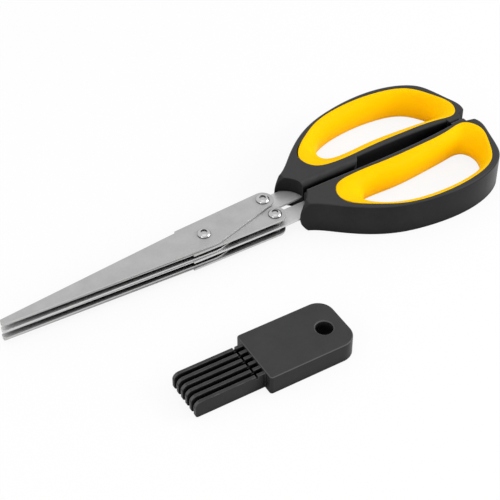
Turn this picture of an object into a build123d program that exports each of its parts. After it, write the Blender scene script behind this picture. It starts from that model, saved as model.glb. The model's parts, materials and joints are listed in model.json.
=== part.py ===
"""Herb scissors with three pairs of blades, two soft-lined handles and a cleaning comb.

The scissors lie closed on a table, blades towards -X, with the comb beside them on the -Y side.
Half A (upper blade of each pair, handle on the +Y side) stays still, half B turns on the pivot.
Sizes are millimetres, +Z is up, and the origin is the middle of the footprint on the table.
Outlines are drawn from the pivot, and half B repeats half A across the middle line.
"""

import os
from math import cos, radians, sin

from build123d import *

os.makedirs("parts", exist_ok=True)

# Blade stack
BLADE_THICKNESS = 0.8
PAIR_PITCH = 3.4  # from one pair of blades to the next
PAIR_GAP = 0.05  # between the two blades that shear past each other
STACK_MIDDLE = 6.25  # height of the sliding face of the middle pair
BLADE_REACH = 80.3  # pivot to tip
TIP_HALF_WIDTH = 1.5
SHOULDER_HALF_WIDTH = 6.55  # where the ground edge starts
SHOULDER_X = 8.3  # ground edge starts this far in front of the pivot
GRIND_STEP = 0.25  # the grinder sets the edge back by this
EDGE_LAND = 0.2  # thickness left along the cutting edge
BEVEL_WIDTH = 0.5
TIP_CORNER = 0.8  # corner cut at the tip, on the cutting side
TIP_ROUND = 1.4  # round corner on the back
HEEL_X = 2.0  # where the back of the blade turns towards the rear rivet
HEEL_ROUND = 12.0
REAR_ROUND = 4.0  # round rear end, about the rear rivet
TANG_INNER = 0.7  # tang's inner edge, from the middle line
TANG_TOE = 2.6  # the same, inside the handle
TANG_DEPTH = 7.0  # length of tang moulded into the handle

# Rivets and spacers
PIVOT_RADIUS = 1.6
PIVOT_CLEARANCE = 0.05  # radial, in the turning blades
HEAD_CLEARANCE = 0.05  # under the lower head of the pivot
REAR_RIVET_X = 27.75
REAR_RIVET_Y = 4.1
REAR_RIVET_RADIUS = 1.4
HEAD_RADIUS = 2.5
HEAD_HEIGHT = 1.2
HEAD_RIM = 0.35  # straight side of the head
CROWN_SHARE = 0.72  # how full the head's dome is, half way to the dimple
DIMPLE_RADIUS = 1.2
DIMPLE_DEPTH = 0.5
SPACER_RADIUS = 2.6
SPACER_CLEARANCE = 0.05  # over and under the pivot spacers

# Handle shells
HANDLE_FRONT = 36.0  # pivot to the nose of the handle
HANDLE_LENGTH = 85.9
HANDLE_HALF_WIDTH = 33.2
HANDLE_THICKNESS = 13.5
EDGE_ROUND = 0.7
NOSE_SETBACK = 3.2  # the nose leans back by this at its top and bottom
MOUTH_LEAD = 1.3  # centre of the round cut across both noses, ahead of the nose
MOUTH_RADIUS = 8.5
RECESS_FRONT = 2.4  # inner wall of the shell beside the web, from the middle line
RECESS_MIDDLE = 2.8
RECESS_SHARE = 0.6  # place of that middle, from the front of the grip to the stop
RECESS_REAR = 1.3
RECESS_END = 5.1  # the same wall, drawn on past the rear of the handle
RECESS_ROUND = 1.0  # top and bottom edges of that wall
WEB_LENGTH = 33.0  # nose to the rounded end of the inner web
WEB_GAP = 0.3  # web to the middle line
WEB_DEPTH = 4.6
WEB_LOWER = 2.0  # the top of the web in half B is this much lower
WEB_ROUND = 3.0
STOP_INSET = 4.5  # rear of the handle to the stop
STOP_LENGTH = 6.1
STOP_GAP = 0.1  # stop face to the middle line
STOP_DEPTH = 3.6
STOP_ROUND = 1.5

# Soft grips
NECK_LENGTH = 14.4  # nose to the front of the grip
RIM = 1.9  # wall outside the grip
RIM_REAR = 2.7
INNER_RIM = 3.2  # middle line to the grip
BULGE_FRONT = 10.4  # how far the grip swells into the finger hole
BULGE_REAR = 6.5
BULGE_SIDE = 4.4
GRIP_LIP = 0.25  # flat lip where the grip meets the rim

# Cleaning comb
COMB_X = -16.5  # middle of the comb body's front face, from the pivot
COMB_Y = -57.7
COMB_TURN = -2.1  # degrees against the scissors
COMB_LENGTH = 34.9
COMB_WIDTH = 22.5
COMB_THICKNESS = 8.0
COMB_REAR_ROUND = 6.0
COMB_FRONT_ROUND = 1.0
COMB_EDGE_ROUND = 0.5
TOOTH_COUNT = 6
TOOTH_PITCH = 2.85
TOOTH_THICKNESS = 1.2
TOOTH_LENGTH = 26.4
TOOTH_RAISE = 0.65  # underside of the comb to the teeth
TOOTH_DROP = 0.7  # top of the comb to the teeth
TOOTH_TIP_ROUND = 2.4
TOOTH_TOE_ROUND = 1.2
TOOTH_ROOT = 1.5  # length of tooth buried in the body
GROOVE_X = 2.8  # cross groove in the teeth, from the body
GROOVE_WIDTH = 0.8
GROOVE_DEPTH = 1.2
HANG_RADIUS = 3.1
HANG_INSET = 7.5  # rear of the comb to the middle of the hanging hole
HANG_Y = -0.75
HANG_CHAMFER = 0.3

OVERRUN = 5.0  # cutting tools pass the faces they cut by this

# Outlines as shares of the sizes above
OUTER_SHARES = [
    (-0.02, 0.25),
    (0.05, 0.322),
    (0.13, 0.492),
    (0.235, 0.71),
    (0.352, 0.87),
    (0.485, 0.962),
    (0.63, 1.0),
    (0.764, 0.97),
    (0.865, 0.88),
    (0.927, 0.755),
    (0.96, 0.575),
    (0.986, 0.36),
    (1.0, 0.2),
    (0.992, 0.105),
    (0.968, 0.05),
]
POCKET_SHARES = [
    (0.0, 0.324),
    (0.042, 0.12),
    (0.137, 0.053),
    (0.391, 0.06),
    (0.6525, 0.053),
    (0.856, 0.007),
    (0.958, 0.0),
    (1.0, 0.148),
    (0.964, 0.5),
    (0.885, 0.798),
    (0.711, 0.968),
    (0.507, 1.0),
    (0.2747, 0.9014),
    (0.09, 0.64),
]
HOLE_SHARES = [
    (0.0, 0.342),
    (0.03, 0.185),
    (0.1145, 0.11),
    (0.3435, 0.13),
    (0.649, 0.076),
    (0.859, 0.015),
    (0.966, 0.061),
    (1.0, 0.25),
    (0.966, 0.625),
    (0.88, 0.865),
    (0.677, 1.02),
    (0.458, 1.02),
    (0.229, 0.92),
    (0.05, 0.66),
]
BULGE_STEPS = 8  # the swell of the grip follows half an ellipse in this many steps

REAR_HALF_WIDTH = REAR_RIVET_Y + REAR_ROUND
MOUTH_X = HANDLE_FRONT - MOUTH_LEAD
HANDLE_END = HANDLE_FRONT + HANDLE_LENGTH
STOP_END = HANDLE_END - STOP_INSET
STOP_START = STOP_END - STOP_LENGTH
WEB_END = HANDLE_FRONT + WEB_LENGTH
TOOTH_TOP = COMB_THICKNESS - TOOTH_DROP
HANG_X = COMB_LENGTH - HANG_INSET

# Frame: the pivot's place when the origin is the middle of the footprint
COMB_SIDE = COMB_WIDTH / 2 - COMB_REAR_ROUND
COMB_REAR = COMB_LENGTH - COMB_REAR_ROUND
TURN = radians(COMB_TURN)
COMB_NEAR_Y = COMB_Y + COMB_REAR * sin(TURN) - COMB_SIDE * cos(TURN) - COMB_REAR_ROUND
PIVOT_X = (BLADE_REACH - HANDLE_END) / 2
PIVOT_Y = -(COMB_NEAR_Y + HANDLE_HALF_WIDTH) / 2


def level(height):
    """A drawing plane at this height, with its origin on the pivot axis."""
    return Plane(origin=(PIVOT_X, PIVOT_Y, height))


def save(piece, name):
    """Label a finished piece and write it."""
    piece.part.label = name
    export_step(piece.part, f"parts/{name}.step")


def blade_bottom(side, pair):
    """Underside of a blade: pair is 1 for the top pair, 0 for the middle and -1 for the bottom."""
    face = STACK_MIDDLE + pair * PAIR_PITCH
    if side > 0:
        return face + PAIR_GAP / 2
    return face - PAIR_GAP / 2 - BLADE_THICKNESS


def heel_line(side):
    """The straight back of the blade behind the heel, tangent to the round rear end."""
    heel_y = -SHOULDER_HALF_WIDTH - GRIND_STEP
    dx, dy = REAR_RIVET_X - HEEL_X, REAR_RIVET_Y - heel_y
    square = dx**2 + dy**2
    reach = (square - REAR_ROUND**2) ** 0.5
    along = (dx * reach + dy * REAR_ROUND) / square
    across = (dy * reach - dx * REAR_ROUND) / square
    touch = (HEEL_X + reach * along, side * (heel_y + reach * across))
    return (HEEL_X, side * heel_y), touch


def make_blade(name, side, pair, tang=False):
    """One blade: its ground edge lies on its rivet's side, its back on the other."""
    heel, touch = heel_line(side)
    tip, shoulder, wide = -BLADE_REACH, -SHOULDER_X, SHOULDER_HALF_WIDTH + GRIND_STEP
    bottom = blade_bottom(side, pair)
    hole = PIVOT_RADIUS if side > 0 else PIVOT_RADIUS + PIVOT_CLEARANCE
    with BuildPart() as blade:
        with BuildSketch(level(bottom)) as outline:
            with BuildLine():
                front = Polyline(
                    touch,
                    heel,
                    (tip, side * -TIP_HALF_WIDTH),
                    (tip, side * (TIP_HALF_WIDTH - TIP_CORNER)),
                    (tip + TIP_CORNER, side * TIP_HALF_WIDTH),
                    (shoulder, side * SHOULDER_HALF_WIDTH),
                    (shoulder, side * wide),
                    (REAR_RIVET_X, side * REAR_HALF_WIDTH),
                )
                if tang:
                    root = MOUTH_X + MOUTH_RADIUS
                    Polyline(
                        front @ 1,
                        (root + TANG_DEPTH, side * REAR_HALF_WIDTH),
                        (root + TANG_DEPTH, side * TANG_TOE),
                        (root + TANG_TOE, side * TANG_TOE),
                        (root, side * TANG_INNER),
                        (REAR_RIVET_X + REAR_ROUND, side * TANG_INNER),
                        front @ 0,
                    )
                else:
                    rear = (REAR_RIVET_X + REAR_ROUND, side * REAR_RIVET_Y)
                    ThreePointArc(front @ 1, rear, front @ 0)
            make_face()
            corners = outline.vertices()
            fillet(corners.sort_by_distance(heel)[0], HEEL_ROUND)
            back = (tip, side * -TIP_HALF_WIDTH)
            fillet(outline.vertices().sort_by_distance(back)[0], TIP_ROUND)
            Circle(hole, mode=Mode.SUBTRACT)
            with Locations((REAR_RIVET_X, side * REAR_RIVET_Y)):
                Circle(REAR_RIVET_RADIUS, mode=Mode.SUBTRACT)
        extrude(amount=BLADE_THICKNESS)
        outer_face = blade.faces().sort_by(Axis.Z)[-1 if side > 0 else 0]
        half_way = (SHOULDER_HALF_WIDTH + TIP_HALF_WIDTH) / 2
        height = BLADE_THICKNESS if side > 0 else 0
        middle = level(bottom).from_local_coords((tip / 2 + shoulder / 2, side * half_way, height))
        cutting = outer_face.edges().sort_by_distance(middle)[0]
        chamfer(cutting, BEVEL_WIDTH, BLADE_THICKNESS - EDGE_LAND, reference=outer_face)
    save(blade, name)


def make_rivet(name, x, y, radius, bottom, top):
    """A rivet with a dimpled head on each end, through plates from bottom to top."""
    low, high = bottom - HEAD_HEIGHT, top + HEAD_HEIGHT
    pit_low, pit_high = low + DIMPLE_DEPTH, high - DIMPLE_DEPTH
    rim_low, rim_high = bottom - HEAD_RIM, top + HEAD_RIM
    crown = (HEAD_RADIUS + DIMPLE_RADIUS) / 2
    rise = (HEAD_HEIGHT - HEAD_RIM) * CROWN_SHARE
    axle = level(0).from_local_coords((x, y, 0))
    with BuildPart() as rivet:
        with BuildSketch(Plane(origin=axle, x_dir=(1, 0, 0), z_dir=(0, -1, 0))):
            with BuildLine():
                Polyline((DIMPLE_RADIUS, high), (DIMPLE_RADIUS, pit_high), (0, pit_high))
                Polyline((0, pit_high), (0, pit_low), (DIMPLE_RADIUS, pit_low), (DIMPLE_RADIUS, low))
                ThreePointArc((DIMPLE_RADIUS, low), (crown, rim_low - rise), (HEAD_RADIUS, rim_low))
                Polyline(
                    (HEAD_RADIUS, rim_low),
                    (HEAD_RADIUS, bottom),
                    (radius, bottom),
                    (radius, top),
                    (HEAD_RADIUS, top),
                    (HEAD_RADIUS, rim_high),
                )
                ThreePointArc((HEAD_RADIUS, rim_high), (crown, rim_high + rise), (DIMPLE_RADIUS, high))
            make_face()
        revolve(axis=Axis(axle, (0, 0, 1)))
    save(rivet, name)


def make_spacer(name, x, y, radius, bottom, thickness):
    """A washer that keeps two blades apart on a rivet."""
    with BuildPart() as spacer:
        with BuildSketch(level(bottom)):
            with Locations((x, y)):
                Circle(SPACER_RADIUS)
                Circle(radius, mode=Mode.SUBTRACT)
        extrude(amount=thickness)
    save(spacer, name)


def handle_points(side):
    """Places along the outside of a handle, from nose to stop."""
    return [
        (HANDLE_FRONT + u * HANDLE_LENGTH, side * v * HANDLE_HALF_WIDTH)
        for u, v in OUTER_SHARES
    ]


def loop_points(side, swell, lip=0.0):
    """Places round the finger hole: swell 0 is the rim of the shell, 1 the grip at half height."""
    left = HANDLE_FRONT + NECK_LENGTH + lip + swell * (BULGE_FRONT - lip)
    right = HANDLE_END - RIM_REAR - lip - swell * (BULGE_REAR - lip)
    near = INNER_RIM + lip + swell * (BULGE_SIDE - lip)
    far = HANDLE_HALF_WIDTH - RIM - lip - swell * (BULGE_SIDE - lip)
    points = []
    for (rim_u, rim_v), (hole_u, hole_v) in zip(POCKET_SHARES, HOLE_SHARES):
        u = rim_u + swell * (hole_u - rim_u)
        v = rim_v + swell * (hole_v - rim_v)
        points.append((left + u * (right - left), side * (near + v * (far - near))))
    return points


def rounded_bar(side, start, end, gap, depth, height, radius):
    """An upright bar with a rounded face towards the other handle."""
    with BuildPart() as bar:
        with BuildSketch(level(0)):
            with Locations(((start + end) / 2, side * (gap + depth) / 2)):
                Rectangle(end - start, depth - gap)
        extrude(amount=height)
        inner = bar.faces().filter_by(Axis.Y).sort_by(Axis.Y)[0 if side > 0 else -1]
        fillet(inner.edges(), radius)
    return bar.part


def make_shell(name, side):
    """One handle's hard moulding: loop, neck with the blade's pocket, inner web and stop."""
    web_top = HANDLE_THICKNESS if side > 0 else HANDLE_THICKNESS - WEB_LOWER
    stop_top = HANDLE_THICKNESS
    web = rounded_bar(side, HANDLE_FRONT, WEB_END, WEB_GAP, WEB_DEPTH, web_top, WEB_ROUND)
    stop = rounded_bar(side, STOP_START, STOP_END, STOP_GAP, STOP_DEPTH, stop_top, STOP_ROUND)
    front, back = HANDLE_FRONT - OVERRUN, HANDLE_END + OVERRUN
    neck_end = HANDLE_FRONT + NECK_LENGTH
    with BuildPart() as shell:
        with BuildSketch(level(0)):
            with BuildLine():
                outer = Spline(*handle_points(side))
                Polyline(outer @ 1, ((outer @ 1).X, 0), ((outer @ 0).X, 0), outer @ 0)
            make_face()
        extrude(amount=HANDLE_THICKNESS)
        flat = shell.faces().filter_by(Axis.Z).edges()
        fillet(flat.filter_by(GeomType.BSPLINE), EDGE_ROUND)
        with BuildSketch(level(0)):
            with BuildLine():
                recess = Spline(
                    (front, side * RECESS_FRONT),
                    (neck_end, side * RECESS_FRONT),
                    (neck_end + RECESS_SHARE * (STOP_START - neck_end), side * RECESS_MIDDLE),
                    (STOP_START, side * RECESS_REAR),
                )
                Polyline(
                    recess @ 1,
                    (back, side * RECESS_END),
                    (back, -side * OVERRUN),
                    (front, -side * OVERRUN),
                    recess @ 0,
                )
            make_face()
        extrude(amount=HANDLE_THICKNESS, mode=Mode.SUBTRACT)
        for height in (0, HANDLE_THICKNESS):
            place = level(height).from_local_coords(recess @ (1 / 2))
            fillet(shell.edges().sort_by_distance(place)[0], RECESS_ROUND)
        add(web)
        add(stop)
        with BuildSketch(level(0)):
            with BuildLine():
                Spline(*loop_points(side, 0), periodic=True)
            make_face()
        extrude(amount=HANDLE_THICKNESS, mode=Mode.SUBTRACT)
        with BuildSketch(level(0)):
            with Locations((MOUTH_X, 0)):
                Circle(MOUTH_RADIUS)
        extrude(amount=HANDLE_THICKNESS, mode=Mode.SUBTRACT)
        side_view = Plane(origin=(PIVOT_X, PIVOT_Y, 0), x_dir=(1, 0, 0), z_dir=(0, -1, 0))
        with BuildSketch(side_view):
            with BuildLine():
                lean = HANDLE_FRONT + NOSE_SETBACK
                tip = (HANDLE_FRONT, HANDLE_THICKNESS / 2)
                nose = ThreePointArc((lean, 0), tip, (lean, HANDLE_THICKNESS))
                Polyline(nose @ 1, (front, HANDLE_THICKNESS), (front, 0), nose @ 0)
            make_face()
        extrude(amount=HANDLE_HALF_WIDTH + OVERRUN, both=True, mode=Mode.SUBTRACT)
        root = MOUTH_X + MOUTH_RADIUS
        with BuildSketch(level(blade_bottom(side, 0))):
            with BuildLine():
                Polyline(
                    (front, side * REAR_HALF_WIDTH),
                    (root + TANG_DEPTH, side * REAR_HALF_WIDTH),
                    (root + TANG_DEPTH, side * TANG_TOE),
                    (root + TANG_TOE, side * TANG_TOE),
                    (root, side * TANG_INNER),
                    (front, side * TANG_INNER),
                    close=True,
                )
            make_face()
        extrude(amount=BLADE_THICKNESS, mode=Mode.SUBTRACT)
    save(shell, name)


def make_grip(name, side):
    """One soft lining: it fills the shell's loop and swells into the finger hole."""
    with BuildPart() as grip:
        with BuildSketch(level(0)):
            with BuildLine():
                Spline(*loop_points(side, 0), periodic=True)
            make_face()
        extrude(amount=HANDLE_THICKNESS)
        for step in range(BULGE_STEPS + 1):
            turn = radians(180 * step / BULGE_STEPS)
            height = HANDLE_THICKNESS * (1 - cos(turn)) / 2
            with BuildSketch(level(height)):
                with BuildLine():
                    Spline(*loop_points(side, sin(turn), GRIP_LIP), periodic=True)
                make_face()
        loft(ruled=True, mode=Mode.SUBTRACT)
    save(grip, name)


def make_comb(name):
    """The cleaning comb: six upright teeth on a block with a hanging hole."""
    corner = level(0).from_local_coords((COMB_X, COMB_Y, 0))
    table = Plane(origin=corner, x_dir=(cos(TURN), sin(TURN), 0), z_dir=(0, 0, 1))
    with BuildPart() as comb:
        with BuildSketch(table) as block:
            with Locations((COMB_LENGTH / 2, 0)):
                Rectangle(COMB_LENGTH, COMB_WIDTH)
            fillet(block.vertices().group_by(Axis.X)[-1], COMB_REAR_ROUND)
            fillet(block.vertices().group_by(Axis.X)[0], COMB_FRONT_ROUND)
        extrude(amount=COMB_THICKNESS)
        fillet(comb.faces().filter_by(Axis.Z).edges(), COMB_EDGE_ROUND)
        for tooth in range(TOOTH_COUNT):
            across = (tooth - (TOOTH_COUNT - 1) / 2) * TOOTH_PITCH
            foot = table.from_local_coords((0, across, 0))
            with BuildSketch(Plane(origin=foot, x_dir=table.x_dir, z_dir=-table.y_dir)) as profile:
                with BuildLine():
                    Polyline(
                        (TOOTH_ROOT, TOOTH_RAISE),
                        (-TOOTH_LENGTH, TOOTH_RAISE),
                        (-TOOTH_LENGTH, TOOTH_TOP),
                        (-GROOVE_X - GROOVE_WIDTH, TOOTH_TOP),
                        (-GROOVE_X - GROOVE_WIDTH, TOOTH_TOP - GROOVE_DEPTH),
                        (-GROOVE_X, TOOTH_TOP - GROOVE_DEPTH),
                        (-GROOVE_X, TOOTH_TOP),
                        (TOOTH_ROOT, TOOTH_TOP),
                        close=True,
                    )
                make_face()
                tip = profile.vertices().group_by(Axis.X)[0]
                fillet(tip.sort_by(Axis.Y)[-1], TOOTH_TIP_ROUND)
                toe = (-TOOTH_LENGTH, TOOTH_RAISE)
                fillet(profile.vertices().sort_by_distance(toe)[0], TOOTH_TOE_ROUND)
            extrude(amount=TOOTH_THICKNESS / 2, both=True)
        with BuildSketch(table):
            with Locations((HANG_X, HANG_Y)):
                Circle(HANG_RADIUS)
        extrude(amount=COMB_THICKNESS, mode=Mode.SUBTRACT)
        hole = table.from_local_coords((HANG_X, HANG_Y, COMB_THICKNESS / 2))
        wall = comb.faces().filter_by(GeomType.CYLINDER).sort_by_distance(hole)[0]
        chamfer(wall.edges().filter_by(GeomType.CIRCLE), HANG_CHAMFER)
    save(comb, name)


PAIRS = {"upper": 1, "middle": 0, "lower": -1}

for label, pair in PAIRS.items():
    make_blade(f"blade_a_{label}", 1, pair, tang=pair == 0)
    make_blade(f"blade_b_{label}", -1, pair, tang=pair == 0)

# Rivets: the pivot is fixed in half A, so its lower head clears the lowest blade of half B
stack_top = blade_bottom(1, 1) + BLADE_THICKNESS
make_rivet("pivot_rivet", 0, 0, PIVOT_RADIUS, blade_bottom(-1, -1) - HEAD_CLEARANCE, stack_top)
for half, side in (("a", 1), ("b", -1)):
    low, high = blade_bottom(side, -1), blade_bottom(side, 1) + BLADE_THICKNESS
    rivet_y = side * REAR_RIVET_Y
    make_rivet(f"rear_rivet_{half}", REAR_RIVET_X, rivet_y, REAR_RIVET_RADIUS, low, high)
    for label, pair in (("upper", 0), ("lower", -1)):
        bottom = blade_bottom(side, pair) + BLADE_THICKNESS
        spacing = PAIR_PITCH - BLADE_THICKNESS
        name = f"rear_spacer_{half}_{label}"
        make_spacer(name, REAR_RIVET_X, rivet_y, REAR_RIVET_RADIUS, bottom, spacing)

for label, pair in (("upper", 0), ("lower", -1)):
    bottom = blade_bottom(1, pair) + BLADE_THICKNESS
    spacing = PAIR_PITCH - 2 * BLADE_THICKNESS - PAIR_GAP - SPACER_CLEARANCE
    make_spacer(f"pivot_spacer_{label}", 0, 0, PIVOT_RADIUS, bottom, spacing)

for half, side in (("a", 1), ("b", -1)):
    make_shell(f"handle_shell_{half}", side)
    make_grip(f"grip_{half}", side)

make_comb("cleaning_comb")
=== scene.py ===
"""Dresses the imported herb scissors: steel, moulded plastic, soft grips, floor, light and camera.

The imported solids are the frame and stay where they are. Blades, rivets, spacers, handle shells and
the cleaning comb keep their solids and get their finishes. The two soft grips are modelled here.
Everything is in metres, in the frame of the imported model.
"""

from __future__ import annotations

import json
import logging
import math
from dataclasses import dataclass, replace
from enum import Enum

import bmesh
import bpy
import numpy as np
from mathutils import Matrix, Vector

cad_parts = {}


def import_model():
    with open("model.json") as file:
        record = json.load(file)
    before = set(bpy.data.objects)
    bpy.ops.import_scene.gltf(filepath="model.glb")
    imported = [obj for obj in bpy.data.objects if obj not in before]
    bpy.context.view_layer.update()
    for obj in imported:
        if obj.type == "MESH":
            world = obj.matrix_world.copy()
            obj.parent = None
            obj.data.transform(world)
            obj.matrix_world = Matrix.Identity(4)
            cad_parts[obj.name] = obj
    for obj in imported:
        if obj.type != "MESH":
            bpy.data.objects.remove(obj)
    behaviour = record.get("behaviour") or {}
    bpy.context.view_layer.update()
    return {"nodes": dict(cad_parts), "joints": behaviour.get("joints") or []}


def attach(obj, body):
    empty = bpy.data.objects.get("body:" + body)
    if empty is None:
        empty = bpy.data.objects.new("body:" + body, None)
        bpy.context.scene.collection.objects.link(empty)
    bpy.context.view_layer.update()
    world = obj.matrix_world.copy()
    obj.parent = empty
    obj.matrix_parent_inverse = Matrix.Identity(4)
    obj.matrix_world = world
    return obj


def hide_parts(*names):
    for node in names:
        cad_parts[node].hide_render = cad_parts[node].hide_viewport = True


LOG = logging.getLogger("scissors")
MM = 0.001
PAINTED_SHADE_BLACK = (0.0, 0.0, 0.0, 1.0)
WHITE = (1.0, 1.0, 1.0, 1.0)
SAME_PLACE = 0.001 * MM


class Socket(Enum):
    """Kinds of socket on a node group."""

    VALUE = "NodeSocketFloat"
    VECTOR = "NodeSocketVector"


class Sum(Enum):
    """What a math node does."""

    ADD = "ADD"
    SUBTRACT = "SUBTRACT"
    MULTIPLY = "MULTIPLY"
    MAXIMUM = "MAXIMUM"
    ABSOLUTE = "ABSOLUTE"


class Half(Enum):
    """The two halves of the scissors: the side of the middle line that the handle lies on."""

    A = 1
    B = -1


class Wiring:
    """Adds nodes to one node tree and joins them.

    A mix node keeps a pair of inputs and an output for each kind of value. The places of those
    for numbers and for colours are named here.
    """

    NUMBER_FIRST, NUMBER_SECOND, NUMBER_MIXED = 2, 3, 0
    COLOUR_FIRST, COLOUR_SECOND, COLOUR_MIXED = 6, 7, 2

    def __init__(self, tree: bpy.types.NodeTree) -> None:
        """Starts with an empty tree.

        Args:
            tree: the tree of a material, a world or a node group.
        """
        self.tree = tree
        tree.nodes.clear()

    def node(self, kind: str, **settings: object) -> bpy.types.Node:
        """Adds one node.

        Args:
            kind: Blender's name for the node.
            settings: properties set on it.

        Returns:
            The new node.
        """
        made = self.tree.nodes.new(kind)
        for name, value in settings.items():
            setattr(made, name, value)
        return made

    def feed(self, target: bpy.types.NodeSocket, source: object) -> None:
        """Joins a socket to a target, or sets a plain number, colour or vector on it.

        Args:
            target: the input to fill.
            source: an output socket or a value.
        """
        if isinstance(source, bpy.types.NodeSocket):
            self.tree.links.new(source, target)
        else:
            target.default_value = source

    def group(self, tree: bpy.types.NodeTree, given: dict[str, object]) -> bpy.types.Node:
        """Adds a shared group and fills its inputs.

        Args:
            tree: the group.
            given: a socket or a value for each input, by name.

        Returns:
            The group's node.
        """
        made = self.node("ShaderNodeGroup", node_tree=tree)
        for name, source in given.items():
            self.feed(made.inputs[name], source)
        return made

    def sum(self, way: Sum, first: object, second: object = 0.0) -> bpy.types.NodeSocket:
        """Adds a math node.

        Args:
            way: the operation.
            first: its first number or socket.
            second: its second number or socket.

        Returns:
            The result's socket.
        """
        made = self.node("ShaderNodeMath", operation=way.value)
        self.feed(made.inputs[0], first)
        self.feed(made.inputs[1], second)
        return made.outputs[0]

    def noise(self, vector: object, scale: object, detail: float,
              rough: float = 0.55) -> bpy.types.NodeSocket:
        """Adds a noise texture.

        Args:
            vector: where it is read.
            scale: cells for each metre.
            detail: number of octaves.
            rough: how strong the small octaves are.

        Returns:
            The value's socket.
        """
        made = self.node("ShaderNodeTexNoise")
        self.feed(made.inputs["Vector"], vector)
        self.feed(made.inputs["Scale"], scale)
        self.feed(made.inputs["Detail"], detail)
        self.feed(made.inputs["Roughness"], rough)
        return made.outputs["Fac"]

    def spread(self, value: object, start: object, end: object, low: object, high: object,
               soft: bool = False) -> bpy.types.NodeSocket:
        """Maps one range of numbers to another.

        Args:
            value: the number's socket.
            start: lowest number read.
            end: highest number read.
            low: what start gives.
            high: what end gives.
            soft: whether it eases in and out.

        Returns:
            The result's socket.
        """
        made = self.node("ShaderNodeMapRange")
        made.interpolation_type = "SMOOTHSTEP" if soft else "LINEAR"
        for name, number in zip(("Value", "From Min", "From Max", "To Min", "To Max"),
                                (value, start, end, low, high)):
            self.feed(made.inputs[name], number)
        return made.outputs["Result"]

    def blend(self, share: object, first: object, second: object) -> bpy.types.NodeSocket:
        """Mixes two colours.

        Args:
            share: how much of the second colour shows.
            first: the colour at 0.
            second: the colour at 1.

        Returns:
            The mixed colour's socket.
        """
        made = self.node("ShaderNodeMix", data_type="RGBA")
        self.feed(made.inputs["Factor"], share)
        self.feed(made.inputs[self.COLOUR_FIRST], first)
        self.feed(made.inputs[self.COLOUR_SECOND], second)
        return made.outputs[self.COLOUR_MIXED]

    def between(self, share: object, first: object, second: object) -> bpy.types.NodeSocket:
        """Mixes two numbers.

        Args:
            share: how much of the second number counts.
            first: the number at 0.
            second: the number at 1.

        Returns:
            The mixed number's socket.
        """
        made = self.node("ShaderNodeMix", data_type="FLOAT")
        self.feed(made.inputs["Factor"], share)
        self.feed(made.inputs[self.NUMBER_FIRST], first)
        self.feed(made.inputs[self.NUMBER_SECOND], second)
        return made.outputs[self.NUMBER_MIXED]

    def levelness(self) -> bpy.types.NodeSocket:
        """Reads how level a face is: 1 where it looks up or down, 0 on an upright wall.

        Returns:
            The number's socket.
        """
        surface = self.node("ShaderNodeNewGeometry")
        parts = self.node("ShaderNodeSeparateXYZ")
        self.feed(parts.inputs[0], surface.outputs["Normal"])
        return self.sum(Sum.ABSOLUTE, parts.outputs["Z"])

    def stretch(self, vector: object, scale: tuple[float, float, float]) -> bpy.types.NodeSocket:
        """Stretches a pattern along the axes.

        Args:
            vector: the coordinates.
            scale: cells for each metre along X, Y and Z.

        Returns:
            The stretched coordinates' socket.
        """
        made = self.node("ShaderNodeMapping")
        self.feed(made.inputs["Vector"], vector)
        made.inputs["Scale"].default_value = scale
        return made.outputs["Vector"]


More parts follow.
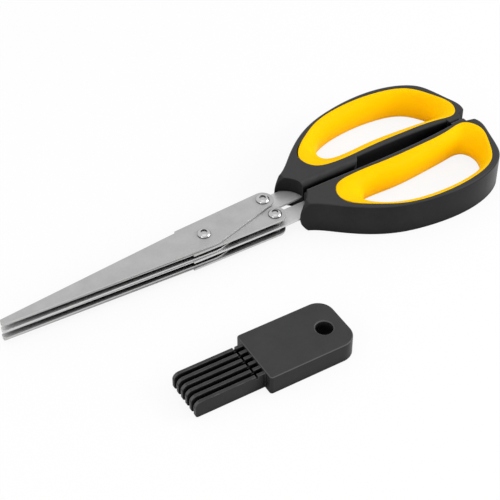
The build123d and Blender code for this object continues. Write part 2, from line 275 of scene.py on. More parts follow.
class Effects:
    """Shader groups that more than one finish uses.

    Scales are cells for each metre, and a range is the lowest and the highest number that is read.
    """

    CLOUD_MIDDLE = 0.5
    FINE_CLOUD_SCALE = 7.3  # times the scale of the broad clouds
    FINE_CLOUD_SHARE = 0.4
    BEVEL_SAMPLES = 6
    EDGE_BEND = (0.02, 0.2)  # from a slight rounding to a sharp edge
    RUBBED_NOISE = (0.38, 0.62)
    LEAST_RUBBED = 0.35
    PIT_ROUGHNESS = 0.7
    WAVE_SCALE = 0.12  # times the scale of the pits
    WAVE_SHARE = 0.6
    LINES_ALONG = (90.0, 5200.0, 2600.0)
    LINES_ACROSS = (4200.0, 300.0, 300.0)
    LINE_ROUGHNESS = 0.6
    WIDE_STREAKS = (14.0, 900.0, 900.0)
    FLAT_RANGE = (0.9, 0.98)
    CREVICE_SAMPLES = 12
    PATCH_SCALE = 160.0
    PATCH_NOISE = (0.3, 0.7)
    PATCH_STRENGTH = 0.08
    ROUNDING_START = (0.25, 0.55)
    ROUNDING_END = (0.88, 0.985)

    def __init__(self) -> None:
        """Builds each group once."""
        self.mottle = self._mottle()
        self.edges_worn_and_lit = self._edges_worn_and_lit()
        self.grain = self._grain()
        self.brushing = self._brushing()
        self.crevice = self._crevice()
        self.level = self._level()

    @staticmethod
    def _start(
        name: str, inputs: dict[str, Socket], outputs: dict[str, Socket]
    ) -> tuple[Wiring, dict[str, bpy.types.NodeSocket], dict[str, bpy.types.NodeSocket]]:
        """Makes an empty group with its sockets.

        Args:
            name: the group's name.
            inputs: input names and kinds.
            outputs: output names and kinds.

        Returns:
            The wiring, the input sockets by name and the output sockets by name.
        """
        tree = bpy.data.node_groups.new(name, "ShaderNodeTree")
        wiring = Wiring(tree)
        for label, kind in inputs.items():
            tree.interface.new_socket(name=label, in_out="INPUT", socket_type=kind.value)
        for label, kind in outputs.items():
            tree.interface.new_socket(name=label, in_out="OUTPUT", socket_type=kind.value)
        source, target = wiring.node("NodeGroupInput"), wiring.node("NodeGroupOutput")
        return (
            wiring,
            {label: source.outputs[label] for label in inputs},
            {label: target.inputs[label] for label in outputs},
        )

    def _mottle(self) -> bpy.types.NodeTree:
        """Makes soft clouds of tone in two sizes, about the middle tone.

        Returns:
            The group.
        """
        wiring, given, made = self._start(
            "mottle",
            {"Vector": Socket.VECTOR, "Scale": Socket.VALUE, "Contrast": Socket.VALUE},
            {"Tone": Socket.VALUE},
        )
        broad = wiring.noise(given["Vector"], given["Scale"], 3.0)
        fine_scale = wiring.sum(Sum.MULTIPLY, given["Scale"], self.FINE_CLOUD_SCALE)
        fine = wiring.noise(given["Vector"], fine_scale, 2.0)
        both = wiring.sum(Sum.ADD, broad, wiring.sum(Sum.MULTIPLY, fine, self.FINE_CLOUD_SHARE))
        usual = self.CLOUD_MIDDLE * (1.0 + self.FINE_CLOUD_SHARE)
        centred = wiring.sum(Sum.SUBTRACT, both, usual)
        scaled = wiring.sum(Sum.MULTIPLY, centred, given["Contrast"])
        wiring.feed(made["Tone"], wiring.sum(Sum.ADD, scaled, self.CLOUD_MIDDLE))
        return wiring.tree

    def _edges_worn_and_lit(self) -> bpy.types.NodeTree:
        """Makes a mask of the sharp edges, for scuffing and for a painted highlight, broken up where
        hands and boards rub less.

        Returns:
            The group, which also gives the normal of softly rounded edges.
        """
        wiring, given, made = self._start(
            "edges_worn_and_lit",
            {"Vector": Socket.VECTOR, "Radius": Socket.VALUE, "Breaks": Socket.VALUE},
            {"Mask": Socket.VALUE, "Normal": Socket.VECTOR},
        )
        rounded = wiring.node("ShaderNodeBevel", samples=self.BEVEL_SAMPLES)
        wiring.feed(rounded.inputs["Radius"], given["Radius"])
        surface = wiring.node("ShaderNodeNewGeometry")
        meeting = wiring.node("ShaderNodeVectorMath", operation="DOT_PRODUCT")
        wiring.feed(meeting.inputs[0], rounded.outputs["Normal"])
        wiring.feed(meeting.inputs[1], surface.outputs["Normal"])
        bend = wiring.sum(Sum.SUBTRACT, 1.0, meeting.outputs["Value"])
        edge = wiring.spread(bend, *self.EDGE_BEND, 0.0, 1.0, soft=True)
        breaks = wiring.noise(given["Vector"], given["Breaks"], 3.0)
        rubbed_and_lit = wiring.spread(breaks, *self.RUBBED_NOISE, self.LEAST_RUBBED, 1.0, soft=True)
        wiring.feed(made["Mask"], wiring.sum(Sum.MULTIPLY, edge, rubbed_and_lit))
        wiring.feed(made["Normal"], rounded.outputs["Normal"])
        return wiring.tree

    def _grain(self) -> bpy.types.NodeTree:
        """Makes the fine grain that a spark-eroded mould leaves.

        Returns:
            The group.
        """
        wiring, given, made = self._start(
            "mould_grain",
            {"Vector": Socket.VECTOR, "Scale": Socket.VALUE},
            {"Height": Socket.VALUE},
        )
        pits = wiring.noise(given["Vector"], given["Scale"], 2.0, self.PIT_ROUGHNESS)
        wave_scale = wiring.sum(Sum.MULTIPLY, given["Scale"], self.WAVE_SCALE)
        waves = wiring.noise(given["Vector"], wave_scale, 2.0)
        height = wiring.sum(Sum.ADD, pits, wiring.sum(Sum.MULTIPLY, waves, self.WAVE_SHARE))
        wiring.feed(made["Height"], height)
        return wiring.tree

    def _brushing(self) -> bpy.types.NodeTree:
        """Makes fine lines: along the blade on its flats, across it on the ground edges.

        Returns:
            The group.
        """
        wiring, given, made = self._start(
            "brushing", {"Vector": Socket.VECTOR}, {"Height": Socket.VALUE, "Streak": Socket.VALUE}
        )
        where = given["Vector"]
        along = wiring.noise(wiring.stretch(where, self.LINES_ALONG), 1.0, 4.0, self.LINE_ROUGHNESS)
        across = wiring.noise(
            wiring.stretch(where, self.LINES_ACROSS), 1.0, 3.0, self.LINE_ROUGHNESS
        )
        flat = wiring.spread(wiring.levelness(), *self.FLAT_RANGE, 0.0, 1.0)
        lines = wiring.between(flat, across, along)
        wide = wiring.noise(wiring.stretch(where, self.WIDE_STREAKS), 1.0, 3.0)
        wiring.feed(made["Height"], lines)
        streak = wiring.sum(Sum.MULTIPLY, wiring.sum(Sum.ADD, lines, wide), 0.5)
        wiring.feed(made["Streak"], streak)
        return wiring.tree

    def _crevice(self) -> bpy.types.NodeTree:
        """Makes a mask of narrow slots, holes and joints, where little light gets in; the finishes
        darken their colour there as painted shade.

        Returns:
            The group.
        """
        wiring, given, made = self._start(
            "crevice",
            {"Reach": Socket.VALUE, "Closed": Socket.VALUE, "Open": Socket.VALUE},
            {"Mask": Socket.VALUE},
        )
        around = wiring.node("ShaderNodeAmbientOcclusion", samples=self.CREVICE_SAMPLES)
        wiring.feed(around.inputs["Distance"], given["Reach"])
        mask = wiring.spread(
            around.outputs["AO"], given["Closed"], given["Open"], 1.0, 0.0, soft=True
        )
        wiring.feed(made["Mask"], mask)
        return wiring.tree

    def _level(self) -> bpy.types.NodeTree:
        """Makes a mask of the faces that look up or down, and one of the roundings beside them.

        Upright walls stay out of both. The finishes paint light and shade on the walls outside the
        first mask and a highlight on the roundings with the second.

        Returns:
            The group.
        """
        wiring, given, made = self._start(
            "level",
            {"Vector": Socket.VECTOR, "Upright": Socket.VALUE, "Level": Socket.VALUE},
            {"Mask": Socket.VALUE, "Rounding": Socket.VALUE},
        )
        noise = wiring.noise(given["Vector"], self.PATCH_SCALE, 2.0)
        patches = wiring.spread(
            noise, *self.PATCH_NOISE, -self.PATCH_STRENGTH, self.PATCH_STRENGTH
        )
        levelness = wiring.levelness()
        patchy = wiring.sum(Sum.ADD, levelness, patches)
        mask = wiring.spread(patchy, given["Upright"], given["Level"], 0.0, 1.0, soft=True)
        wiring.feed(made["Mask"], mask)
        past_wall = wiring.spread(levelness, *self.ROUNDING_START, 0.0, 1.0, soft=True)
        before_flat = wiring.spread(levelness, *self.ROUNDING_END, 1.0, 0.0, soft=True)
        wiring.feed(made["Rounding"], wiring.sum(Sum.MULTIPLY, past_wall, before_flat))
        return wiring.tree


@dataclass(frozen=True)
class Groundwork:
    """What every finish builds on: its material, its shader and the values read from the surface.

    Attributes:
        material: the new material.
        wiring: the wiring of its tree.
        shader: its shader.
        where: the place on the piece.
        tone: clouds of tone, about 0.5.
        flat: 1 on level faces, less on upright walls.
        wear_and_highlight: how much an edge is scuffed and carries a painted highlight, roundings
            included.
        shade: how much painted shade a closed-in place gets.
        smoothed: the normal with softly rounded edges.
    """

    material: bpy.types.Material
    wiring: Wiring
    shader: bpy.types.Node
    where: bpy.types.NodeSocket
    tone: bpy.types.NodeSocket
    flat: bpy.types.NodeSocket
    wear_and_highlight: bpy.types.NodeSocket
    shade: bpy.types.NodeSocket
    smoothed: bpy.types.NodeSocket


@dataclass(frozen=True)
class Finish:
    """What every finish shares: two tones, a range of roughness, scuffed edges with a painted
    highlight, painted light and shade on upright walls and painted shade in crevices.

    Attributes:
        name: the material's name.
        tone: colour of level faces in the darker clouds.
        second_tone: the same in the paler clouds.
        wear_and_highlight_tone: colour of scuffed edges, and of the painted highlight on edges and
            roundings.
        smoothest: lowest roughness.
        roughest: highest roughness.
        cloud_scale: clouds for each metre.
        cloud_contrast: how far the clouds leave the middle tone.
        edge_radius: reach of the soft rounding of edges.
        edge_breaks: breaks in the scuffing and the painted edge highlight for each metre.
        edge_wear_and_highlight: how much of the paler edge tone shows on sharp edges, partly as
            scuffing and partly as a painted highlight.
        relief: strength of the fine relief.
        relief_scale: its height.
        crevice_reach: how far off another face still closes a place in.
        painted_crevice_shade: how dark the painted shade in a closed place gets.
        side_tone_and_painted_light: colour of upright walls: painted light and shade on them, and on
            steel partly the ground edges' own paler tone.
        upright: levelness up to which a face is a wall.
        level: levelness from which a face is level.
        rounding_highlight: how much of the paler edge tone shows on roundings, as a painted
            highlight.
        crevice_closed: openness at which a place is fully shaded.
        crevice_open: openness from which it isn't shaded.
        side_clouds: how much of the level tones the clouds bring onto the walls.
    """

    name: str
    tone: tuple[float, float, float]
    second_tone: tuple[float, float, float]
    wear_and_highlight_tone: tuple[float, float, float]
    smoothest: float
    roughest: float
    cloud_scale: float
    cloud_contrast: float
    edge_radius: float
    edge_breaks: float
    edge_wear_and_highlight: float
    relief: float
    relief_scale: float
    crevice_reach: float
    painted_crevice_shade: float
    side_tone_and_painted_light: tuple[float, float, float]
    upright: float
    level: float
    rounding_highlight: float = 0.0
    crevice_closed: float = 0.12
    crevice_open: float = 0.8
    side_clouds: float = 0.3

    def start(self, effects: Effects) -> Groundwork:
        """Makes the material with its shader, colour, clouds, scuffed edges with a painted
        highlight, painted light on walls and painted shade in crevices.

        Args:
            effects: the shared groups.

        Returns:
            The material and what the rest of the finish joins to; roughness and relief are open.
        """
        material = bpy.data.materials.new(self.name)
        material.use_nodes = True
        wiring = Wiring(material.node_tree)
        output = wiring.node("ShaderNodeOutputMaterial")
        shader = wiring.node("ShaderNodeBsdfPrincipled")
        wiring.feed(output.inputs["Surface"], shader.outputs["BSDF"])
        where = wiring.node("ShaderNodeTexCoord").outputs["Object"]
        clouds = wiring.group(
            effects.mottle,
            {"Vector": where, "Scale": self.cloud_scale, "Contrast": self.cloud_contrast},
        )
        edges = wiring.group(
            effects.edges_worn_and_lit,
            {"Vector": where, "Radius": self.edge_radius, "Breaks": self.edge_breaks},
        )
        level = wiring.group(
            effects.level, {"Vector": where, "Upright": self.upright, "Level": self.level}
        )
        crevice = wiring.group(
            effects.crevice,
            {"Reach": self.crevice_reach, "Closed": self.crevice_closed, "Open": self.crevice_open},
        )
        tone = clouds.outputs["Tone"]
        on_walls = wiring.sum(Sum.MULTIPLY, tone, self.side_clouds)
        flat = wiring.sum(Sum.MAXIMUM, level.outputs["Mask"], on_walls)
        level_colour = wiring.blend(tone, (*self.tone, 1.0), (*self.second_tone, 1.0))
        # Upright walls take their own tone: painted light and shade, on steel partly the ground
        # edges' own tone.
        colour = wiring.blend(flat, (*self.side_tone_and_painted_light, 1.0), level_colour)
        # Roundings beside level faces take the paler edge tone: a painted highlight.
        rounding = wiring.sum(Sum.MULTIPLY, level.outputs["Rounding"], self.rounding_highlight)
        # Sharp edges take the paler edge tone: partly scuffing, partly a painted highlight.
        sharp = wiring.sum(Sum.MULTIPLY, edges.outputs["Mask"], self.edge_wear_and_highlight)
        wear_and_highlight = wiring.sum(Sum.MAXIMUM, sharp, rounding)
        # Closed-in places are darkened towards black: painted shade.
        shade = wiring.sum(Sum.MULTIPLY, crevice.outputs["Mask"], self.painted_crevice_shade)
        rubbed_and_lit = wiring.blend(wear_and_highlight, colour, (*self.wear_and_highlight_tone, 1.0))
        wiring.feed(shader.inputs["Base Color"], wiring.blend(shade, rubbed_and_lit, PAINTED_SHADE_BLACK))
        return Groundwork(
            material, wiring, shader, where, tone, flat, wear_and_highlight, shade, edges.outputs["Normal"]
        )

    def relieve(self, base: Groundwork, height: bpy.types.NodeSocket) -> None:
        """Adds the fine relief over softly rounded edges.

        Args:
            base: what start returned.
            height: the relief's height, from 0 to 1.
        """
        bump = base.wiring.node("ShaderNodeBump")
        bump.inputs["Strength"].default_value = self.relief
        bump.inputs["Distance"].default_value = self.relief_scale
        base.wiring.feed(bump.inputs["Height"], height)
        base.wiring.feed(bump.inputs["Normal"], base.smoothed)
        base.wiring.feed(base.shader.inputs["Normal"], bump.outputs["Normal"])


@dataclass(frozen=True)
class SatinSteel(Finish):
    """Sheet steel with brushed flats and ground edges.

    Attributes:
        metal: how metallic it is.
        streak_range: the streaks' numbers that give the smoothest and the roughest.
        polish: how much smoother a rubbed edge is.
    """

    metal: float = 1.0
    streak_range: tuple[float, float] = (0.3, 0.7)
    polish: float = 0.12

    def material(self, effects: Effects) -> bpy.types.Material:
        """Builds the material.

        Args:
            effects: the shared groups.

        Returns:
            The finished material.
        """
        base = self.start(effects)
        wiring, shader = base.wiring, base.shader
        brushing = wiring.group(effects.brushing, {"Vector": base.where})
        shader.inputs["Metallic"].default_value = self.metal
        streaks = wiring.spread(
            brushing.outputs["Streak"], *self.streak_range, self.smoothest, self.roughest
        )
        polish = wiring.sum(Sum.MULTIPLY, base.wear_and_highlight, -self.polish)
        wiring.feed(shader.inputs["Roughness"], wiring.sum(Sum.ADD, streaks, polish))
        self.relieve(base, brushing.outputs["Height"])
        return base.material


@dataclass(frozen=True)
class MouldedPlastic(Finish):
    """Hard plastic with the grain of its mould and a thin skin that shines at a low angle.

    Attributes:
        grain_scale: pits for each metre.
        gloss: specular level under the skin.
        skin: shine of level faces.
        side_skin: shine of upright walls.
        grazing_skin: shine added at a low angle.
        grazing_range: how far a face is turned away where that begins and where it is full.
        skin_roughness: roughness of the skin.
        cloud_range: the clouds' numbers that give the smoothest and the roughest.
        polish: how much smoother a rubbed edge is.
    """

    grain_scale: float = 4200.0
    gloss: float = 0.05
    skin: float = 0.2
    side_skin: float = 0.05
    grazing_skin: float = 0.8
    grazing_range: tuple[float, float] = (0.4, 0.95)
    skin_roughness: float = 0.46
    cloud_range: tuple[float, float] = (0.2, 0.8)
    polish: float = 0.1

    def material(self, effects: Effects) -> bpy.types.Material:
        """Builds the material.

        Args:
            effects: the shared groups.

        Returns:
            The finished material.
        """
        base = self.start(effects)
        wiring, shader = base.wiring, base.shader
        grain = wiring.group(effects.grain, {"Vector": base.where, "Scale": self.grain_scale})
        shader.inputs["Specular IOR Level"].default_value = self.gloss
        shader.inputs["Coat Roughness"].default_value = self.skin_roughness
        skin = wiring.spread(base.flat, 0.0, 1.0, self.side_skin, self.skin)
        facing = wiring.node("ShaderNodeLayerWeight").outputs["Facing"]
        grazing = wiring.spread(facing, *self.grazing_range, 0.0, self.grazing_skin, soft=True)
        # The painted shade takes the shine out of closed-in places too.
        openness = wiring.spread(base.shade, 0.0, 1.0, 1.0, 0.0)
        shine = wiring.sum(Sum.MULTIPLY, wiring.sum(Sum.ADD, skin, grazing), openness)
        wiring.feed(shader.inputs["Coat Weight"], shine)
        rough = wiring.spread(base.tone, *self.cloud_range, self.smoothest, self.roughest)
        polish = wiring.sum(Sum.MULTIPLY, base.wear_and_highlight, -self.polish)
        wiring.feed(shader.inputs["Roughness"], wiring.sum(Sum.ADD, rough, polish))
        self.relieve(base, grain.outputs["Height"])
        return base.material


@dataclass(frozen=True)
class SoftRubber(Finish):
    """Soft lining: light goes a little way in and comes out warmer.

    Attributes:
        grain_scale: pits for each metre.
        gloss: specular level.
        glow: how much of the light goes in.
        glow_depth: how deep it goes.
        glow_colours: how far red, green and blue go, as shares of that depth.
        cloud_range: the clouds' numbers that give the smoothest and the roughest.
    """

    grain_scale: float = 2600.0
    gloss: float = 0.03
    glow: float = 0.25
    glow_depth: float = 1.5 * MM
    glow_colours: tuple[float, float, float] = (1.0, 0.42, 0.08)
    cloud_range: tuple[float, float] = (0.2, 0.8)

    def material(self, effects: Effects) -> bpy.types.Material:
        """Builds the material.

        Args:
            effects: the shared groups.

        Returns:
            The finished material.
        """
        base = self.start(effects)
        wiring, shader = base.wiring, base.shader
        grain = wiring.group(effects.grain, {"Vector": base.where, "Scale": self.grain_scale})
        shader.inputs["Specular IOR Level"].default_value = self.gloss
        shader.inputs["Subsurface Weight"].default_value = self.glow
        shader.inputs["Subsurface Radius"].default_value = self.glow_colours
        shader.inputs["Subsurface Scale"].default_value = self.glow_depth
        rough = wiring.spread(base.tone, *self.cloud_range, self.smoothest, self.roughest)
        wiring.feed(shader.inputs["Roughness"], rough)
        self.relieve(base, grain.outputs["Height"])
        return base.material


# Walls paler than flats: partly the ground edges' own steel, partly a painted reflection. Edges
# paler: partly scuffing, partly a painted highlight. Crevices get painted shade.
BLADE_STEEL = SatinSteel(
    name="satin_blade_steel",
    tone=(0.38, 0.38, 0.38),
    second_tone=(0.44, 0.44, 0.44),
    wear_and_highlight_tone=(0.58, 0.58, 0.57),
    smoothest=0.34,
    roughest=0.46,
    cloud_scale=170.0,
    cloud_contrast=2.0,
    edge_radius=0.12 * MM,
    edge_breaks=420.0,
    edge_wear_and_highlight=0.4,
    relief=0.45,
    relief_scale=0.03 * MM,
    crevice_reach=6.0 * MM,
    painted_crevice_shade=1.0,
    metal=0.6,
    side_tone_and_painted_light=(0.48, 0.48, 0.475),
    upright=0.1,
    level=0.7,
    crevice_closed=0.3,
    crevice_open=0.56,
)
# A paler copy of the blade steel for the middle blades: painted light on their tangs, which the
# handles' mouth shades.
TANG_STEEL_PAINTED_LIGHT = replace(
    BLADE_STEEL,
    name="tang_steel_painted_light",
    tone=(0.57, 0.57, 0.57),
    second_tone=(0.63, 0.63, 0.63),
    side_tone_and_painted_light=(0.58, 0.58, 0.575),
    crevice_open=0.5,
)
# The head's sloping sides are near black: painted shade under its rim. Crevices get painted shade
# too.
RIVET_STEEL = SatinSteel(
    name="polished_rivet_steel",
    tone=(0.46, 0.46, 0.46),
    second_tone=(0.54, 0.54, 0.54),
    wear_and_highlight_tone=(0.60, 0.60, 0.59),
    smoothest=0.16,
    roughest=0.26,
    cloud_scale=300.0,
    cloud_contrast=1.0,
    edge_radius=0.15 * MM,
    edge_breaks=900.0,
    edge_wear_and_highlight=0.5,
    relief=0.06,
    relief_scale=0.02 * MM,
    crevice_reach=2.0 * MM,
    painted_crevice_shade=0.92,
    side_tone_and_painted_light=(0.025, 0.025, 0.025),
    upright=0.25,
    level=0.75,
)
# Walls a little darker than flats: painted shade. Crevices get painted shade.
SPACER_STEEL = SatinSteel(
    name="turned_spacer_steel",
    tone=(0.34, 0.34, 0.335),
    second_tone=(0.42, 0.42, 0.41),
    wear_and_highlight_tone=(0.55, 0.55, 0.54),
    smoothest=0.30,
    roughest=0.45,
    cloud_scale=200.0,
    cloud_contrast=1.2,
    edge_radius=0.1 * MM,
    edge_breaks=800.0,
    edge_wear_and_highlight=0.5,
    relief=0.2,
    relief_scale=0.03 * MM,
    crevice_reach=4.0 * MM,
    painted_crevice_shade=0.9,
    side_tone_and_painted_light=(0.30, 0.30, 0.295),
    upright=0.1,
    level=0.7,
)
# Walls darker than tops: painted shade. Roundings and edges paler: painted highlight, on edges
# partly scuffing. Crevices get painted shade.
SHELL_PLASTIC = MouldedPlastic(
    name="charcoal_handle_plastic",
    tone=(0.029, 0.029, 0.0295),
    second_tone=(0.038, 0.038, 0.0385),
    wear_and_highlight_tone=(0.09, 0.09, 0.091),
    smoothest=0.40,
    roughest=0.54,
    cloud_scale=90.0,
    cloud_contrast=1.4,
    edge_radius=0.8 * MM,
    edge_breaks=260.0,
    edge_wear_and_highlight=0.55,
    relief=0.3,
    relief_scale=0.03 * MM,
    crevice_reach=12.0 * MM,
    painted_crevice_shade=0.97,
    side_tone_and_painted_light=(0.014, 0.014, 0.0145),
    upright=0.62,
    level=0.96,
    rounding_highlight=0.12,
)
# Walls darker than the top: painted shade. Edges and roundings much paler: painted highlight, on
# edges partly scuffing. Crevices get painted shade.
COMB_PLASTIC = MouldedPlastic(
    name="black_comb_plastic",
    tone=(0.030, 0.030, 0.0305),
    second_tone=(0.040, 0.040, 0.0405),
    wear_and_highlight_tone=(0.15, 0.15, 0.15),
    smoothest=0.36,
    roughest=0.50,
    cloud_scale=110.0,
    cloud_contrast=1.6,
    edge_radius=0.7 * MM,
    edge_breaks=320.0,
    edge_wear_and_highlight=0.7,
    relief=0.3,
    relief_scale=0.03 * MM,
    crevice_reach=7.0 * MM,
    painted_crevice_shade=0.97,
    grain_scale=5000.0,
    side_tone_and_painted_light=(0.020, 0.020, 0.0205),
    upright=0.15,
    level=0.5,
    rounding_highlight=0.35,
    grazing_skin=0.4,
)
# Walls a little paler and yellower than the tops: painted light. Edges paler: partly scuffing,
# partly a painted highlight.
GRIP_RUBBER = SoftRubber(
    name="yellow_grip_rubber",
    tone=(0.95, 0.505, 0.0),
    second_tone=(0.99, 0.545, 0.0),
    wear_and_highlight_tone=(1.0, 0.62, 0.01),
    smoothest=0.46,
    roughest=0.60,
    cloud_scale=70.0,
    cloud_contrast=1.3,
    edge_radius=0.25 * MM,
    edge_breaks=300.0,
    edge_wear_and_highlight=0.25,
    relief=0.15,
    relief_scale=0.03 * MM,
    crevice_reach=1.0 * MM,
    painted_crevice_shade=0.0,
    side_tone_and_painted_light=(1.0, 0.56, 0.0),
    upright=0.1,
    level=0.75,
)


def wear_finish(piece: bpy.types.Object, material: bpy.types.Material) -> None:
    """Gives a piece one material in every slot.

    Args:
        piece: the object.
        material: its finish.
    """
    if not piece.material_slots:
        piece.data.materials.append(material)
    for place in piece.material_slots:
        place.material = material


def closed_curve(points: list[tuple[float, float]], steps: int) -> np.ndarray:
    """Draws a smooth closed curve through points, with no kink anywhere.

    It is a cubic spline measured along its chords, with the same slope and bend on both sides of
    every place, the first one included.

    Args:
        points: places it goes through.
        steps: how many steps it makes from one place to the next.

    Returns:
        The curve's points, one row each.
    """
    place = np.array(points)
    ahead = np.roll(place, -1, axis=0)
    span = np.linalg.norm(ahead - place, axis=1)
    before = np.roll(span, 1)
    count = len(place)
    system = np.diag(2 * (before + span))
    for index in range(count):
        system[index, index - 1] += before[index]
        system[index, (index + 1) % count] += span[index]
    slope = (ahead - place) / span[:, None]
    bend = np.linalg.solve(system, 6 * (slope - np.roll(slope, 1, axis=0)))
    bend_ahead = np.roll(bend, -1, axis=0)
    rows = []
    for index in range(count):
        length = span[index]
        for step in range(steps):
            done = length * step / steps
            left = length - done
            rows.append(
                (bend[index] * left**3 + bend_ahead[index] * done**3) / (6 * length)
                + (place[index] / length - bend[index] * length / 6) * left
                + (ahead[index] / length - bend_ahead[index] * length / 6) * done
            )
    return np.array(rows)


@dataclass
class SoftGrip:
    """The soft lining of one finger hole, swelling inwards from the rim of its shell.

    Attributes:
        half: the half that it belongs to.
        pivot: the place of the pivot rivet on the floor.
        front: from the pivot to the front of the lining.
        rear: from the pivot to its rear.
        near: from the pivot's line to its inner side.
        far: from the pivot's line to its outer side.
        height: its height, which is the shell's.
        swell_front: how far it swells into the hole at the front.
        swell_rear: the same at the rear.
        swell_side: the same at each side.
        lip: how far inside the rim the swell begins.
        slack: gap to the shell's wall.
        roll: radius of the small roll along its rims.
        roll_middle: share of that radius at the middle of the roll.
        rim_shares: places along the rim, as shares of the way from front to rear and from the
            inner to the outer side.
        hole_shares: the same places where the swell is widest, as shares of the smaller box there.
        steps_round: steps from one place to the next.
        steps_over: steps over the swell.
    """

    half: Half
    pivot: Vector
    front: float = 50.4 * MM
    rear: float = 119.2 * MM
    near: float = 3.2 * MM
    far: float = 31.3 * MM
    height: float = 13.5 * MM
    swell_front: float = 10.4 * MM
    swell_rear: float = 6.5 * MM
    swell_side: float = 4.4 * MM
    lip: float = 0.25 * MM
    slack: float = 0.03 * MM
    roll: float = 0.12 * MM
    roll_middle: float = 0.3
    rim_shares: tuple[tuple[float, float], ...] = (
        (0.0, 0.324), (0.042, 0.12), (0.137, 0.053), (0.391, 0.06), (0.6525, 0.053),
        (0.856, 0.007), (0.958, 0.0), (1.0, 0.148), (0.964, 0.5), (0.885, 0.798),
        (0.711, 0.968), (0.507, 1.0), (0.2747, 0.9014), (0.09, 0.64),
    )
    hole_shares: tuple[tuple[float, float], ...] = (
        (0.0, 0.342), (0.03, 0.185), (0.1145, 0.11), (0.3435, 0.13), (0.649, 0.076),
        (0.859, 0.015), (0.966, 0.061), (1.0, 0.25), (0.966, 0.625), (0.88, 0.865),
        (0.677, 1.02), (0.458, 1.02), (0.229, 0.92), (0.05, 0.66),
    )
    steps_round: int = 14
    steps_over: int = 22

    def outline(self, swell: float, inset: float) -> np.ndarray:
        """The closed line round the hole.

        Args:
            swell: 0 is the rim of the shell, 1 the widest part of the swell.
            inset: how far inside the rim the line starts.

        Returns:
            The line's points in the frame, one row each.
        """
        left = self.front + inset + swell * (self.swell_front - inset)
        right = self.rear - inset - swell * (self.swell_rear - inset)
        low = self.near + inset + swell * (self.swell_side - inset)
        high = self.far - inset - swell * (self.swell_side - inset)
        points = []
        for (rim_u, rim_v), (hole_u, hole_v) in zip(self.rim_shares, self.hole_shares):
            u = rim_u + swell * (hole_u - rim_u)
            v = rim_v + swell * (hole_v - rim_v)
            points.append(
                (
                    self.pivot.x + left + u * (right - left),
                    self.pivot.y + self.half.value * (low + v * (high - low)),
                )
            )
        return closed_curve(points, self.steps_round)

    def levels(self) -> list[tuple[float, float, float]]:
        """The rings of the lining, from the foot of its wall, up, over the swell and back.

        Returns:
            Swell, inset and height of each ring; the last is the first again.
        """
        foot = (0.0, self.slack, self.roll)
        middle = self.roll * self.roll_middle
        rings = [
            foot,
            (0.0, self.slack, self.height - self.roll),
            (0.0, self.slack + middle, self.height - middle),
            (0.0, self.slack + self.roll, self.height),
        ]
        for step in range(self.steps_over + 1):
            turn = math.pi * step / self.steps_over
            rings.append((math.sin(turn), self.lip, self.height * (1 + math.cos(turn)) / 2))
        rings.append((0.0, self.slack + self.roll, 0.0))
        rings.append((0.0, self.slack + middle, middle))
        rings.append(foot)
        return rings

    def build(self) -> bpy.types.Object:
        """Builds the lining from a grid: one way round the hole, the other over the swell.

        Returns:
            The finished object.
        """
        levels = self.levels()
        outlines = [self.outline(swell, inset) for swell, inset, _ in levels]
        around, over = len(outlines[0]), len(levels) - 1
        shape = bmesh.new()
        bmesh.ops.create_grid(shape, x_segments=around, y_segments=over, size=1.0)
        for vert in shape.verts:
            step = round((vert.co.x + 1.0) / 2 * around) % around
            ring = round((vert.co.y + 1.0) / 2 * over)
            vert.co = (*outlines[ring][step], levels[ring][2])
        bmesh.ops.remove_doubles(shape, verts=shape.verts, dist=SAME_PLACE)
        bmesh.ops.recalc_face_normals(shape, faces=shape.faces)
        for face in shape.faces:
            face.smooth = True
        name = f"soft_grip_{self.half.name.lower()}"
        mesh = bpy.data.meshes.new(name)
        shape.to_mesh(mesh)
        shape.free()
        piece = bpy.data.objects.new(name, mesh)
        bpy.context.scene.collection.objects.link(piece)
        return piece

    def place(self, material: bpy.types.Material) -> None:
        """Builds, dresses and seats the lining in its half.

        Args:
            material: the soft finish.
        """
        piece = self.build()
        wear_finish(piece, material)
        letter = self.half.name.lower()
        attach(piece, f"half_{letter}")
        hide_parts(f"grip_{letter}")
        LOG.info("%s: %d faces", piece.name, len(piece.data.polygons))


@dataclass
class HardParts:
    """The carried-over solids and the finish that each kind gets.

    Attributes:
        nodes: the solids by name.
        finishes: a finish for each word that a solid's name may hold. Where a name holds two of
            them, the later one stays.
    """

    nodes: dict[str, bpy.types.Object]
    finishes: dict[str, Finish]

    def dress(self, effects: Effects) -> None:
        """Gives every solid whose name holds a known word its finish.

        Args:
            effects: the shared groups.
        """
        for word, finish in self.finishes.items():
            material = finish.material(effects)
            for name, piece in sorted(self.nodes.items()):
                if word in name:
                    wear_finish(piece, material)
                    LOG.info("%s: %s", name, finish.name)


@dataclass(frozen=True)
class Softbox:
    """One large soft lamp.

    Attributes:
        name: its name.
        place: where it hangs.
        aim: what it points at.
        width: its width.
        depth: its depth.
        brightness: how bright its face looks; 1 is white paper.
    """

    name: str
    place: tuple[float, float, float]
    aim: tuple[float, float, float]
    width: float
    depth: float
    brightness: float

    def hang(self) -> None:
        """Hangs the lamp, pointing at its aim."""
        data = bpy.data.lights.new(self.name, "AREA")
        data.shape = "RECTANGLE"
        data.size, data.size_y = self.width, self.depth
        data.energy = self.brightness * math.pi * self.width * self.depth
        lamp = bpy.data.objects.new(self.name, data)
        bpy.context.scene.collection.objects.link(lamp)
        lamp.location = self.place
        direction = Vector(self.aim) - Vector(self.place)
        lamp.rotation_mode = "QUATERNION"
        lamp.rotation_quaternion = direction.to_track_quat("-Z", "Y")


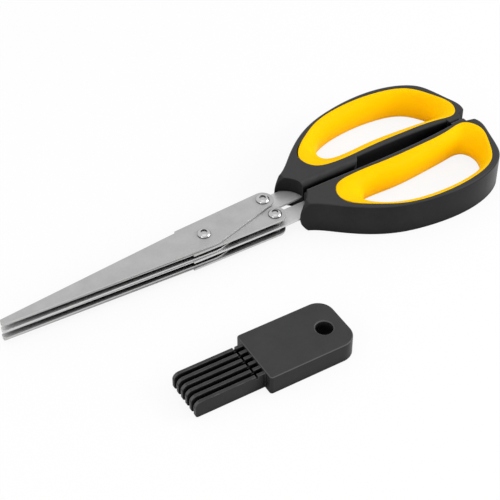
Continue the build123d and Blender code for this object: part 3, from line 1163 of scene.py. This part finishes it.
@dataclass
class Studio:
    """Pale floor, soft light and the photograph's camera.

    Attributes:
        pivot: the place of the pivot rivet on the floor.
        floor_radius: radius of the round floor.
        floor_sides: sides of its outline.
        floor_drop: how far it lies under the part.
        floor_tone: its grey.
        floor_glow: how much of white shows where only the background is seen.
        contact_reach: how near a piece darkens the floor in reflections.
        contact_samples: rays that look for such a piece.
        contact_range: openness where that shade is full and where it ends.
        ambient: brightness of the surrounding light.
        camera_from_pivot: the camera's place, from the pivot.
        aim_from_pivot: what it points at, from the pivot.
        nearest: the shortest distance that it sees.
        sensor: width of its sensor in millimetres.
        focal_pixels: its focal length in pixels of the picture.
        picture: width of the picture in pixels.
        lamps: the soft lamps.
    """

    pivot: Vector
    floor_radius: float = 4.0
    floor_sides: int = 96
    floor_drop: float = 0.02 * MM
    floor_tone: float = 0.8
    floor_glow: float = 0.88
    contact_reach: float = 5.0 * MM
    contact_samples: int = 6
    contact_range: tuple[float, float] = (0.3, 0.8)
    ambient: float = 0.86
    camera_from_pivot: tuple[float, float, float] = (-0.1981, -0.3356, 0.3676)
    aim_from_pivot: tuple[float, float, float] = (0.0153, -0.00664, 0.0)
    nearest: float = 10.0 * MM
    sensor: float = 36.0
    focal_pixels: float = 1478.0
    picture: int = 500
    lamps: tuple[Softbox, ...] = (
        Softbox("top_softbox", (-0.1, -0.2, 1.1), (0.0, 0.0, 0.0), 0.8, 0.8, 0.5),
        Softbox("side_softbox", (0.75, -0.45, 0.4), (0.05, 0.0, 0.0), 0.6, 0.5, 5.5),
        Softbox("left_softbox", (-0.75, -0.35, 0.4), (0.0, 0.0, 0.0), 0.4, 0.4, 3.0),
    )

    @staticmethod
    def _background(wiring: Wiring, path: bpy.types.Node) -> bpy.types.NodeSocket:
        """Tells the rays that show the background: seen straight, mirrored or through glass.

        Args:
            wiring: the tree's wiring.
            path: its light path node.

        Returns:
            The mask's socket, 1 for such rays.
        """
        mirrored = wiring.sum(
            Sum.MAXIMUM, path.outputs["Is Camera Ray"], path.outputs["Is Glossy Ray"]
        )
        return wiring.sum(Sum.MAXIMUM, mirrored, path.outputs["Is Transmission Ray"])

    def _floor_material(self) -> bpy.types.Material:
        """Builds the floor's material: matt, and near white where it is only background.

        Returns:
            The finished material.
        """
        material = bpy.data.materials.new("pale_floor")
        material.use_nodes = True
        wiring = Wiring(material.node_tree)
        output = wiring.node("ShaderNodeOutputMaterial")
        matt = wiring.node("ShaderNodeBsdfDiffuse")
        matt.inputs["Color"].default_value = (self.floor_tone,) * 3 + (1.0,)
        glow = wiring.node("ShaderNodeEmission")
        around = wiring.node("ShaderNodeAmbientOcclusion", samples=self.contact_samples)
        around.inputs["Distance"].default_value = self.contact_reach
        path = wiring.node("ShaderNodeLightPath")
        # Near a piece the white glow seen in reflections is cut back: a painted contact shadow on
        # the floor.
        openness = wiring.spread(around.outputs["AO"], *self.contact_range, 0.0, 1.0, soft=True)
        open_floor = wiring.sum(Sum.MAXIMUM, openness, path.outputs["Is Camera Ray"])
        share = wiring.sum(Sum.MULTIPLY, self._background(wiring, path), open_floor)
        both = wiring.node("ShaderNodeMixShader")
        wiring.feed(both.inputs["Fac"], wiring.sum(Sum.MULTIPLY, share, self.floor_glow))
        wiring.feed(both.inputs[1], matt.outputs["BSDF"])
        wiring.feed(both.inputs[2], glow.outputs["Emission"])
        wiring.feed(output.inputs["Surface"], both.outputs["Shader"])
        return material

    def lay_floor(self) -> None:
        """Lays a large round floor just under the part."""
        shape = bmesh.new()
        bmesh.ops.create_circle(
            shape, cap_ends=True, segments=self.floor_sides, radius=self.floor_radius
        )
        bmesh.ops.translate(shape, verts=shape.verts, vec=(0.0, 0.0, -self.floor_drop))
        mesh = bpy.data.meshes.new("floor")
        shape.to_mesh(mesh)
        shape.free()
        floor = bpy.data.objects.new("floor", mesh)
        bpy.context.scene.collection.objects.link(floor)
        wear_finish(floor, self._floor_material())

    def light(self) -> None:
        """Lights the world evenly and hangs the lamps."""
        world = bpy.data.worlds.new("studio")
        bpy.context.scene.world = world
        world.use_nodes = True
        wiring = Wiring(world.node_tree)
        output = wiring.node("ShaderNodeOutputWorld")
        sky = wiring.node("ShaderNodeBackground")
        sky.inputs["Color"].default_value = WHITE
        background = self._background(wiring, wiring.node("ShaderNodeLightPath"))
        wiring.feed(sky.inputs["Strength"], wiring.spread(background, 0.0, 1.0, self.ambient, 1.0))
        wiring.feed(output.inputs["Surface"], sky.outputs["Background"])
        for lamp in self.lamps:
            lamp.hang()

    def set_camera(self) -> None:
        """Sets the camera where the photograph was taken from."""
        data = bpy.data.cameras.new("photo_camera")
        data.sensor_width = self.sensor
        data.lens = self.focal_pixels / self.picture * self.sensor
        data.clip_start = self.nearest
        camera = bpy.data.objects.new("photo_camera", data)
        bpy.context.scene.collection.objects.link(camera)
        camera.location = self.pivot + Vector(self.camera_from_pivot)
        direction = Vector(self.aim_from_pivot) - Vector(self.camera_from_pivot)
        camera.rotation_mode = "QUATERNION"
        camera.rotation_quaternion = direction.to_track_quat("-Z", "Y")
        bpy.context.scene.camera = camera

    def build(self) -> None:
        """Builds the whole studio."""
        self.lay_floor()
        self.light()
        self.set_camera()
        bpy.context.scene.view_settings.view_transform = "Standard"


def main() -> None:
    """Loads the frame, dresses it and sets the studio."""
    logging.basicConfig(level=logging.INFO, format="%(name)s: %(message)s")
    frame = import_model()
    joint = next(joint for joint in frame["joints"] if joint["name"] == "blade_pivot")
    pivot = Vector((joint["pos_m"][0], joint["pos_m"][1], 0.0))
    Studio(pivot).build()
    effects = Effects()
    HardParts(
        frame["nodes"],
        {
            "blade_": BLADE_STEEL,
            # The middle blades take the paler copy of the steel: painted light.
            "_middle": TANG_STEEL_PAINTED_LIGHT,
            "rivet": RIVET_STEEL,
            "spacer": SPACER_STEEL,
            "handle_shell": SHELL_PLASTIC,
            "cleaning_comb": COMB_PLASTIC,
        },
    ).dress(effects)
    rubber = GRIP_RUBBER.material(effects)
    for half in Half:
        SoftGrip(half, pivot).place(rubber)


if __name__ == "__main__":
    main()
